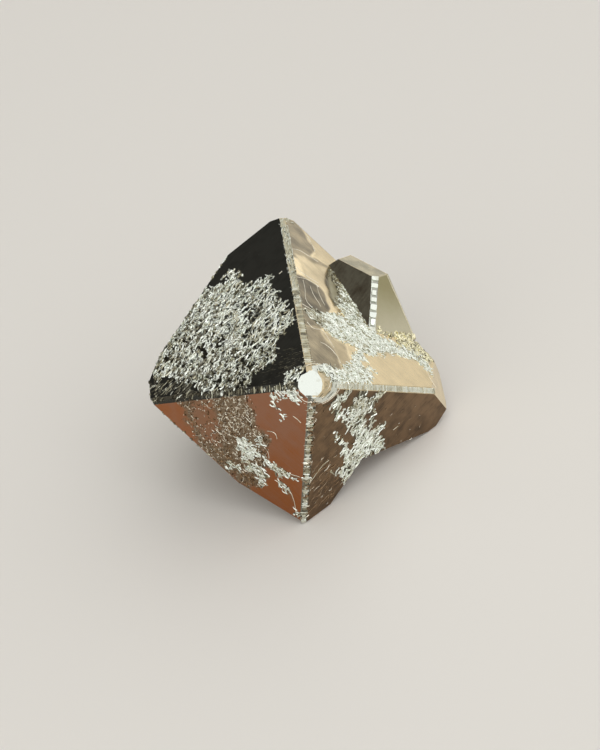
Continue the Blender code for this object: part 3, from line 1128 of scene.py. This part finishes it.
def strands_tree():
    """Short winding ridges, like worms, strewn over one flat face where the crust attribute is high."""
    tree, source = new_tree("crust_strands", {
        "Spacing": 0.0005, "Length": 0.002, "Thickness": 0.0002, "Bend": 0.0005, "Bend Size": 0.001,
        "Roll": 0.0001, "Up": (0.0, 0.0, 1.0), "Lie": (1.0, 0.0, 0.0), "Spin": 0.6, "Tone": 0.0,
        "Tone Spread": 0.5, "Seed": 0, "Finish": "NodeSocketMaterial",
    })
    crust = add(tree, "GeometryNodeInputNamedAttribute", {"Name": "crust"}, data_type="FLOAT")
    strewn = add(tree, "GeometryNodeDistributePointsOnFaces",
                 {"Mesh": source["Geometry"], "Distance Min": source["Spacing"], "Density Max": MOST_POINTS,
                  "Density Factor": crust, "Seed": source["Seed"]}, distribute_method="POISSON")
    upright = add(tree, "FunctionNodeAlignRotationToVector", {"Vector": source["Up"]}, axis="Z")
    laid = add(tree, "FunctionNodeAlignRotationToVector", {"Rotation": upright, "Vector": source["Lie"]},
               axis="X", pivot_axis="Z")
    back = add(tree, "ShaderNodeMath", {0: source["Spin"], 1: -1.0}, operation="MULTIPLY")
    spin = add(tree, "ShaderNodeCombineXYZ", {"Z": random_between(tree, back, source["Spin"], SPIN_SEED)})
    turn = add(tree, "FunctionNodeEulerToRotation", {0: spin})
    turned = add(tree, "FunctionNodeRotateRotation", {"Rotation": laid, "Rotate By": turn},
                 rotation_space="LOCAL")
    bar = add(tree, "GeometryNodeCurvePrimitiveLine", {"Start": (-0.5, 0.0, 0.0), "End": (0.5, 0.0, 0.0)})
    divided = add(tree, "GeometryNodeResampleCurve", {"Curve": bar, "Count": STRAND_POINTS}, mode="COUNT")
    short = add(tree, "ShaderNodeMath", {0: crust, 1: 0.5, 2: 0.5}, operation="MULTIPLY_ADD")
    longest = add(tree, "ShaderNodeMath", {0: source["Length"], 1: short}, operation="MULTIPLY")
    shortest = add(tree, "ShaderNodeMath", {0: longest, 1: SHORTEST}, operation="MULTIPLY")
    placed = add(tree, "GeometryNodeInstanceOnPoints",
                 {"Points": strewn, "Instance": divided, "Rotation": turned,
                  "Scale": random_between(tree, shortest, longest, LENGTH_SEED)})
    film = add(tree, "GeometryNodeInputNamedAttribute", {"Name": "tone"}, data_type="FLOAT")
    lowest = add(tree, "ShaderNodeMath", {0: source["Tone"], 1: source["Tone Spread"]}, operation="SUBTRACT")
    highest = add(tree, "ShaderNodeMath", {0: source["Tone"], 1: source["Tone Spread"]}, operation="ADD")
    scattered = random_between(tree, lowest, highest, TONE_SEED)
    tone = add(tree, "ShaderNodeMath", {0: film, 1: scattered}, operation="ADD")
    toned = add(tree, "GeometryNodeStoreNamedAttribute", {"Geometry": placed, "Name": "tone", "Value": tone},
                data_type="FLOAT", domain="INSTANCE")
    width = random_between(tree, *STRAND_WIDTHS, WIDTH_SEED)
    sized = add(tree, "GeometryNodeStoreNamedAttribute", {"Geometry": toned, "Name": "width", "Value": width},
                data_type="FLOAT", domain="INSTANCE")
    real = add(tree, "GeometryNodeRealizeInstances", {"Geometry": sized})
    pace = add(tree, "ShaderNodeMath", {0: 1.0, 1: source["Bend Size"]}, operation="DIVIDE")
    waves = add(tree, "ShaderNodeTexNoise", {"Scale": pace, "Detail": 1.0}).outputs["Color"]
    middle = add(tree, "ShaderNodeVectorMath", {0: waves, 1: (0.5, 0.5, 0.5)}, operation="SUBTRACT")
    rise = add(tree, "ShaderNodeVectorMath", {0: middle, 1: source["Up"]}, operation="DOT_PRODUCT")
    upward = add(tree, "ShaderNodeVectorMath", {0: source["Up"], "Scale": rise.outputs["Value"]},
                 operation="SCALE")
    level = add(tree, "ShaderNodeVectorMath", {0: middle, 1: upward}, operation="SUBTRACT")
    bend = add(tree, "ShaderNodeVectorMath", {0: level, "Scale": source["Bend"]}, operation="SCALE")
    bent = add(tree, "GeometryNodeSetPosition", {"Geometry": real, "Offset": bend})
    ground = add(tree, "GeometryNodeProximity", {"Geometry": source["Geometry"]}, target_element="FACES")
    roll = add(tree, "ShaderNodeVectorMath", {0: upward, "Scale": source["Roll"]}, operation="SCALE")
    sunk = add(tree, "GeometryNodeSetPosition",
               {"Geometry": bent, "Position": ground.outputs["Position"], "Offset": roll})
    tube = tapered_tube(tree, sunk, source["Thickness"], STRAND_SIDES)
    faceted = add(tree, "GeometryNodeSetShadeSmooth", {"Geometry": tube, "Shade Smooth": False},
                  domain="FACE")
    end_tree(tree, faceted, source["Finish"])
    return tree


def tapered_tube(tree, curve, thickness, sides):
    """A round tube along a curve, as wide as its width attribute says and thin at both ends."""
    width = add(tree, "GeometryNodeInputNamedAttribute", {"Name": "width"}, data_type="FLOAT")
    share = add(tree, "GeometryNodeSplineParameter").outputs["Factor"]
    arch = add(tree, "ShaderNodeMath", {0: share, 1: math.pi}, operation="MULTIPLY")
    taper = add(tree, "ShaderNodeMath", {0: arch}, operation="SINE")
    fat = add(tree, "ShaderNodeMath", {0: taper, 1: 1 - THIN_END, 2: THIN_END}, operation="MULTIPLY_ADD")
    wide = add(tree, "ShaderNodeMath", {0: fat, 1: width}, operation="MULTIPLY")
    sized = add(tree, "GeometryNodeSetCurveRadius", {"Curve": curve, "Radius": wide})
    profile = add(tree, "GeometryNodeCurvePrimitiveCircle", {"Resolution": sides, "Radius": thickness})
    return add(tree, "GeometryNodeCurveToMesh", {"Curve": sized, "Profile Curve": profile, "Fill Caps": True})


def steps_tree():
    """Blocks across an edge: along the guide line, their tops facing the guide's up attribute."""
    tree, source = new_tree("edge_steps", {
        "Pitch": 0.0005, "Size": (0.0004, 0.0012, 0.0003), "Unevenness": 0.3, "Lean": 0.1, "Tone Low": 0.2,
        "Tone High": 1.0, "First Shape": 0, "Seed": 0, "Grains": "NodeSocketCollection",
        "Finish": "NodeSocketMaterial",
    })
    up = add(tree, "GeometryNodeInputNamedAttribute", {"Name": "up"}, data_type="FLOAT_VECTOR")
    line = add(tree, "GeometryNodeMeshToCurve", {"Mesh": source["Geometry"]})
    spaced = add(tree, "GeometryNodeResampleCurve", {"Curve": line, "Length": source["Pitch"]}, mode="LENGTH")
    along = add(tree, "GeometryNodeInputTangent")
    upright = add(tree, "FunctionNodeAlignRotationToVector", {"Vector": up}, axis="Z")
    laid = add(tree, "FunctionNodeAlignRotationToVector", {"Rotation": upright, "Vector": along},
               axis="X", pivot_axis="Z")
    most = add(tree, "ShaderNodeCombineXYZ", {"X": STEP_TILT, "Y": source["Lean"], "Z": STEP_TURN})
    least = add(tree, "ShaderNodeVectorMath", {0: most, "Scale": -1.0}, operation="SCALE")
    lean = random_between(tree, least, most, source["Seed"], "FLOAT_VECTOR")
    turn = add(tree, "FunctionNodeEulerToRotation", {0: lean})
    turned = add(tree, "FunctionNodeRotateRotation", {"Rotation": laid, "Rotate By": turn},
                 rotation_space="LOCAL")
    above = add(tree, "ShaderNodeMath", {0: source["Unevenness"], 1: 1.0}, operation="ADD")
    below = add(tree, "ShaderNodeMath", {0: 1.0, 1: source["Unevenness"]}, operation="SUBTRACT")
    largest = add(tree, "ShaderNodeCombineXYZ", dict.fromkeys("XYZ", above))
    smallest = add(tree, "ShaderNodeCombineXYZ", dict.fromkeys("XYZ", below))
    uneven = random_between(tree, smallest, largest, SIZE_SEED, "FLOAT_VECTOR")
    scale = add(tree, "ShaderNodeVectorMath", {0: source["Size"], 1: uneven}, operation="MULTIPLY")
    shapes = add(tree, "GeometryNodeCollectionInfo",
                 {"Collection": source["Grains"], "Separate Children": True, "Reset Children": True})
    shape = random_between(tree, source["First Shape"], LAST_SHAPE, SHAPE_SEED, "INT")
    placed = add(tree, "GeometryNodeInstanceOnPoints",
                 {"Points": spaced, "Instance": shapes, "Pick Instance": True, "Instance Index": shape,
                  "Rotation": turned, "Scale": scale})
    tone = random_between(tree, source["Tone Low"], source["Tone High"], TONE_SEED)
    toned = add(tree, "GeometryNodeStoreNamedAttribute", {"Geometry": placed, "Name": "tone", "Value": tone},
                data_type="FLOAT", domain="INSTANCE")
    end_tree(tree, toned, source["Finish"])
    return tree


def lines_tree():
    """Low round ridges along guide lines, thin at their ends and a little wavy."""
    tree, source = new_tree("growth_lines", {
        "Thickness": 0.00007, "Step": 0.0003, "Wobble": 0.00008, "Finish": "NodeSocketMaterial",
    })
    line = add(tree, "GeometryNodeMeshToCurve", {"Mesh": source["Geometry"]})
    smooth = add(tree, "GeometryNodeCurveSplineType", {"Curve": line}, spline_type="CATMULL_ROM")
    spaced = add(tree, "GeometryNodeResampleCurve", {"Curve": smooth, "Length": source["Step"]},
                 mode="LENGTH")
    waves = add(tree, "ShaderNodeTexNoise", {"Scale": LINE_WAVES, "Detail": 1.0}).outputs["Color"]
    middle = add(tree, "ShaderNodeVectorMath", {0: waves, 1: (0.5, 0.5, 0.5)}, operation="SUBTRACT")
    shift = add(tree, "ShaderNodeVectorMath", {0: middle, "Scale": source["Wobble"]}, operation="SCALE")
    moved = add(tree, "GeometryNodeSetPosition", {"Geometry": spaced, "Offset": shift})
    end_tree(tree, tapered_tube(tree, moved, source["Thickness"], LINE_SIDES), source["Finish"])
    return tree


def grown(carrier_mesh, tree, values, name):
    """The plain mesh that a tree grows on a mesh."""
    carrier = link(name, carrier_mesh)
    modifier = carrier.modifiers.new(name, "NODES")
    modifier.node_group = tree
    for item in tree.interface.items_tree:
        if item.in_out == "INPUT" and item.name in values:
            modifier[item.identifier] = values[item.name]
    carrier.update_tag()
    graph = bpy.context.evaluated_depsgraph_get()
    mesh = bpy.data.meshes.new_from_object(carrier.evaluated_get(graph), depsgraph=graph)
    bpy.data.objects.remove(carrier)
    if not mesh.polygons:
        raise RuntimeError(f"{name} grew nothing")
    mesh.name = name
    return mesh


def joined(name, meshes):
    """Several meshes of one material as one piece."""
    bm = bmesh.new()
    for mesh in meshes:
        bm.from_mesh(mesh)
    for face in bm.faces:
        face.material_index = 0
    whole = ended(bm, name)
    whole.materials.append(next(material for material in meshes[0].materials if material))
    return link(name, whole)


def guide_mesh(name, lines):
    """Guide lines as loose edges. Each has its points in mm, the way its steps face, a width and a tone."""
    points = [point for line in lines for point in line[0]]
    edges = []
    start = 0
    for line, *_ in lines:
        edges += [(start + step, start + step + 1) for step in range(len(line) - 1)]
        start += len(line)
    mesh = bpy.data.meshes.new(name)
    mesh.from_pydata([Vector(point) * MM for point in points], edges, [])
    facing = [up for line, up, _, _ in lines for _ in line]
    attribute = mesh.attributes.new("up", "FLOAT_VECTOR", "POINT")
    attribute.data.foreach_set("vector", np.array(facing, np.float32).ravel())
    set_numbers(mesh, "width", [width for line, _, width, _ in lines for _ in line])
    set_numbers(mesh, "tone", [tone for line, _, _, tone in lines for _ in line])
    return mesh


def bevel_line(name, start=0.0, end=1.0, side=0.0):
    """A line along a bevel, in mm, from its start share to its end share: its middle, or to the side."""
    normal, _, corners = PLANES[name]
    middle = corners.mean(axis=0)
    run = np.linalg.svd(corners - middle)[2][0]
    if run @ (middle - CENTRE - FAR * FRONT) < 0:
        run = -run
    places = (corners - middle) @ run
    low, high = places.min(), places.max()
    shift = np.cross(run, normal) * side
    ends = [middle + shift + run * (low + (high - low) * share) for share in (start, end)]
    return ends, normal


# Operators

class PYRITE_OT_body(bpy.types.Operator):
    """Cut the solid into fine cells and give its faces their relief, tarnish and painted reflections"""

    bl_idname = "pyrite.body"
    bl_label = "Crystal body"

    def execute(self, context):
        settings = context.scene.pyrite_surface
        mesh = divided_solid(settings.cell)
        points = mesh_points(mesh)
        normals = read_rows(mesh.vertex_normals, "vector", 3)
        corners = assign_faces(mesh, points, body_materials(context.scene.pyrite_colours))

        flats = flat_members(points, normals, ON_POINT)
        patches = crust_patches(points, flats)
        crust = np.max([cover for name, cover in patches.items() if name not in ON_BARE_FILM], axis=0)
        etch = seen_patch(points, flats["lower left"], (LOWER_LEFT_ETCH,), reach=6.0, soft=4.0)
        window = seen_patch(points, flats["lower left"], (LOWER_LEFT_WINDOW,), reach=4.0, soft=6.0)
        etch *= 1 - WINDOW_COVER * window
        # The small crystal's shadow on the upper right face: painted shadow, as rough duller ground.
        small_shadow_patch = seen_patch(points, flats["upper right"], (SMALL_SHADOW,), reach=1.0, soft=3.0)
        rough = np.maximum.reduce([crust * thinning(points, flats), etch, small_shadow_patch,
                                   SMALL_TOP_ROUGH * flats["small top"]])
        set_numbers(mesh, "etched", rough)
        set_numbers(mesh, "etched_ground", etch * (1 - patches["crust_lower_left"]))
        for name, cover in patches.items():
            set_numbers(mesh, name, cover)

        size = settings.swell_size / MM
        swell = layered(points, ((1, size), (0.35, size / 3)), SWELL_SEED)
        jitter = np.random.default_rng(ETCH_SEED).uniform(-1, 1, len(points)) * rough
        tones = body_tones(points, flats)
        stepped = [flats[name] for name in STEPPED] + [on_terrace(points, APEX_TERRACE)]
        steps = np.where(np.any(stepped, axis=0), tones, 0.0)
        height = settings.swell / MM * swell + settings.etch / MM * jitter + settings.step / MM * steps
        set_numbers(mesh, "tone", tones)
        moved = (points + normals * height[:, None]) * MM
        mesh.vertices.foreach_set("co", moved.astype(np.float32).ravel())
        mesh.update()

        smooth = rough[corners].max(axis=1) < ROUGH
        mesh.polygons.foreach_set("use_smooth", smooth)
        mesh.set_sharp_from_angle(angle=SHARP)
        body = link("crystal_body", mesh)
        finish_piece(body)
        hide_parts(NODE)
        return {"FINISHED"}


class PYRITE_OT_crust(bpy.types.Operator):
    """Grow the crust of tiny crystals on the faces"""

    bl_idname = "pyrite.crust"
    bl_label = "Crust"

    def execute(self, context):
        settings = context.scene.pyrite_crust
        colours = context.scene.pyrite_colours
        body = bpy.data.objects["crystal_body"].data
        strands = strands_tree()
        # Fresh small crystals: silvery white, straw coloured and duller here and there.
        fresh = grain_material("druse_pyrite", (colours.shadow, colours.straw, colours.clean),
                               DRUSE_ROUGHNESS)
        # The same in warm brown: a painted reflection of the skin that the lower faces mirror.
        warm_reflecting = grain_material("skin_reflection_druse_pyrite", (colours.bronze, colours.worn, colours.warm_clean),
                                DRUSE_ROUGHNESS)
        # A straw yellow patch at the small crystal's foot.
        golden = grain_material("golden_druse_pyrite", (colours.shadow, colours.straw, colours.golden),
                                DRUSE_ROUGHNESS)
        finishes = {**dict.fromkeys(WARM_REFLECTING, warm_reflecting), **dict.fromkeys(GOLDEN, golden)}
        shared = {"Bend Size": settings.bend_size, "Roll": settings.roll, "Seed": settings.seed}
        points = mesh_points(body)
        for name, (face, lie, spin, spacing, strand, thickness, holes, shift, spread) in CRUST.items():
            carrier = body.copy()
            set_numbers(carrier, "crust", perforated(points, numbers(body, name), holes))
            values = {**shared, "Spacing": settings.spacing * spacing, "Length": settings.strand * strand,
                      "Thickness": settings.thickness * thickness, "Lie": AXES @ Vector(lie),
                      "Up": Vector(PLANES[face][0]), "Spin": spin, "Bend": settings.bend * min(spin, 1),
                      "Tone": shift, "Tone Spread": spread, "Finish": finishes.get(name, fresh)}
            finish_piece(link(name, grown(carrier, strands, values, name)))
        return {"FINISHED"}


class PYRITE_OT_edges(bpy.types.Operator):
    """Set the steps across the bevelled edges, the small crystal's beads and the front corner's plate"""

    bl_idname = "pyrite.edges"
    bl_label = "Edge steps"

    def execute(self, context):
        settings = context.scene.pyrite_edges
        colours = context.scene.pyrite_colours
        tree = steps_tree()
        seeds = seed_collection()
        # Smooth steps of fresh metal, which flash white where they face the light.
        bright = grain_material("stepped_pyrite", (colours.shadow, colours.straw, colours.clean), 0.18)
        made = []
        for order, (name, (span, spacing, size, uneven, low, high, shape)) in enumerate(EDGES.items()):
            line, up = bevel_line(name, *span)
            guide = guide_mesh(name, [(line, up, 1.0, 1.0)])
            values = {"Pitch": settings.rung_pitch * spacing, "Size": Vector(size) * MM, "Unevenness": uneven,
                      "Lean": uneven, "Seed": order, "Grains": seeds, "Finish": bright,
                      "Tone Low": low, "Tone High": high, "First Shape": shape}
            made.append(grown(guide, tree, values, name))
        finish_piece(joined("edge_steps", made))
        finish_piece(apex_plate(bright))
        return {"FINISHED"}


class PYRITE_OT_lines(bpy.types.Operator):
    """Raise the growth lines on the faces and the terraces round the front corner"""

    bl_idname = "pyrite.lines"
    bl_label = "Growth lines"

    def execute(self, context):
        settings = context.scene.pyrite_edges
        colours = context.scene.pyrite_colours
        # Low rounded ridges, a little warmer and duller than the steps.
        bright = grain_material("ridge_pyrite", (colours.shadow, colours.straw, colours.warm_clean), 0.25)
        lines = []
        for face, group in GROWTH_LINES.items():
            width, tone = LINE_LOOKS[face]
            lines += [([place_on_face(x, y, face) for x, y in points], PLANES[face][0], width, tone)
                      for points in group]
        rings = [([place_on_front(x, y) for x, y in points], PLANES["apex"][0], width, tone)
                 for points, width, tone in APEX_LINES]
        # The terraces' edges, whiter than the other ridges.
        white = grain_material("terrace_pyrite", (colours.shadow, colours.straw, colours.clean), 0.2)
        tree = lines_tree()
        made = []
        for group, finish in ((lines, bright), (rings, white)):
            values = {"Thickness": settings.line, "Finish": finish}
            made.append(grown(guide_mesh("growth_lines", group), tree, values, "lines"))
        finish_piece(joined("growth_lines", made))
        return {"FINISHED"}


def place_on_front(x, y):
    """The point of the large crystal's front, in mm, that the photograph shows at that pixel."""
    names = ("apex", "upper left", "upper right", "lower left", "lower right", "top bevel", "right bevel",
             "left bevel", "bottom bevel")
    eye = np.array(CAMERA_PLACE)
    return max((place_on_face(x, y, name) for name in names), key=lambda place: np.linalg.norm(place - eye))


def apex_plate(material):
    """A thin bright plate on the front corner's flat."""
    front = PLANES["apex"][0]
    bm = bmesh.new()
    low = [bm.verts.new(Vector(place_on_face(x, y, "apex")) * MM) for x, y in PLATE_OUTLINE]
    high = [bm.verts.new(corner.co + Vector(front) * PLATE_HEIGHT * MM) for corner in low]
    bm.faces.new(high)
    bm.faces.new(reversed(low))
    for step in range(len(low)):
        bm.faces.new((low[step - 1], low[step], high[step], high[step - 1]))
    bmesh.ops.recalc_face_normals(bm, faces=bm.faces[:])
    mesh = ended(bm, "apex_plate")
    set_numbers(mesh, "tone", np.full(len(mesh.vertices), PLATE_TONE))
    mesh.materials.append(material)
    return link("apex_plate", mesh)


def toward(azimuth, elevation):
    """A direction: azimuth from the rear through the right, and elevation, in degrees."""
    turn, rise = math.radians(azimuth), math.radians(elevation)
    return Vector((math.sin(turn) * math.cos(rise), math.cos(turn) * math.cos(rise), math.sin(rise)))


class PYRITE_OT_studio(bpy.types.Operator):
    """Lay the pale floor, light the room and set the camera"""

    bl_idname = "pyrite.studio"
    bl_label = "Studio"

    def execute(self, context):
        settings = context.scene.pyrite_studio
        self.floor(settings)
        self.key_light(settings)
        self.room(context.scene, settings)
        self.camera(context.scene)
        context.scene.view_settings.view_transform = "Standard"
        return {"FINISHED"}

    def floor(self, settings):
        """A plain matt floor at the crystal's resting height."""
        bm = bmesh.new()
        bmesh.ops.create_circle(bm, cap_ends=True, segments=FLOOR_SIDES, radius=FLOOR_RADIUS)
        mesh = ended(bm, "floor")
        floor = link("floor", mesh)
        floor.location.z = cad_low.z - FLOOR_DROP
        material, _, shader = new_material("matt_floor")
        shader.inputs["Metallic"].default_value = 0.0
        shader.inputs["Roughness"].default_value = FLOOR_ROUGHNESS
        shader.inputs["Base Color"].default_value = opaque(settings.floor)
        mesh.materials.append(material)

    def key_light(self, settings):
        """A square soft light in front, above and to the right."""
        light = bpy.data.lights.new("key", "AREA")
        light.energy = settings.key
        light.size = KEY_SIZE
        direction = toward(KEY_AZIMUTH, KEY_ELEVATION)
        lamp = link("key", light)
        lamp.location = direction * KEY_DISTANCE
        lamp.rotation_euler = direction.to_track_quat("Z", "Y").to_euler()

    def room(self, scene, settings):
        """A light room with dark cards, which the darkest faces mirror."""
        world = bpy.data.worlds.new("room")
        scene.world = world
        world.use_nodes = True
        tree = world.node_tree
        tree.nodes.clear()
        where = add(tree, "ShaderNodeTexCoord").outputs["Generated"]
        level = settings.room
        for azimuth, elevation, inner, outer, dark in SHADES:
            near = add(tree, "ShaderNodeVectorMath", {0: where, 1: toward(azimuth, elevation)},
                       operation="DOT_PRODUCT").outputs["Value"]
            cover = add(tree, "ShaderNodeMapRange",
                        {"Value": near, "From Min": math.cos(math.radians(outer)),
                         "From Max": math.cos(math.radians(inner)), "To Min": settings.room, "To Max": dark},
                        interpolation_type="SMOOTHSTEP")
            level = add(tree, "ShaderNodeMath", {0: level, 1: cover}, operation="MINIMUM")
        seen = add(tree, "ShaderNodeLightPath").outputs["Is Camera Ray"]
        strength = add(tree, "ShaderNodeMix", {0: seen, 2: level, 3: settings.room * BACKDROP})
        light = add(tree, "ShaderNodeBackground", {"Color": ROOM_LIGHT, "Strength": strength})
        add(tree, "ShaderNodeOutputWorld", {"Surface": light})

    def camera(self, scene):
        """The photograph's own point of view."""
        data = bpy.data.cameras.new("camera")
        data.sensor_width = SENSOR
        data.lens = LENS
        data.clip_start = CLIP_START
        camera = link("camera", data)
        place = Matrix(CAMERA_AXES).transposed().to_4x4()
        place.translation = CAMERA_PLACE * MM
        camera.matrix_world = place
        scene.camera = camera


OPERATORS = (PYRITE_OT_body, PYRITE_OT_crust, PYRITE_OT_edges, PYRITE_OT_lines, PYRITE_OT_studio)


class PYRITE_PT_panel(bpy.types.Panel):
    """The specimen's pieces and settings"""

    bl_idname = "PYRITE_PT_panel"
    bl_label = "Pyrite specimen"
    bl_space_type = "VIEW_3D"
    bl_region_type = "UI"
    bl_category = "Pyrite"

    def draw(self, context):
        for operator in OPERATORS:
            self.layout.operator(operator.bl_idname)
        for name, group in SETTINGS.items():
            box = self.layout.box()
            box.label(text=group.__doc__)
            for setting in group.__annotations__:
                box.prop(getattr(context.scene, name), setting)


CLASSES = (*SETTINGS.values(), *OPERATORS, PYRITE_PT_panel)


def register():
    """Register the classes and put the settings on the scene."""
    for item in CLASSES:
        bpy.utils.register_class(item)
    for name, group in SETTINGS.items():
        setattr(bpy.types.Scene, name, PointerProperty(type=group))


def unregister():
    """Take the settings and classes away again."""
    for name in SETTINGS:
        delattr(bpy.types.Scene, name)
    for item in reversed(CLASSES):
        bpy.utils.unregister_class(item)


def main():
    """Build every piece in order."""
    register()
    bpy.ops.pyrite.body()
    bpy.ops.pyrite.crust()
    bpy.ops.pyrite.edges()
    bpy.ops.pyrite.lines()
    bpy.ops.pyrite.studio()


if __name__ == "__main__":
    main()
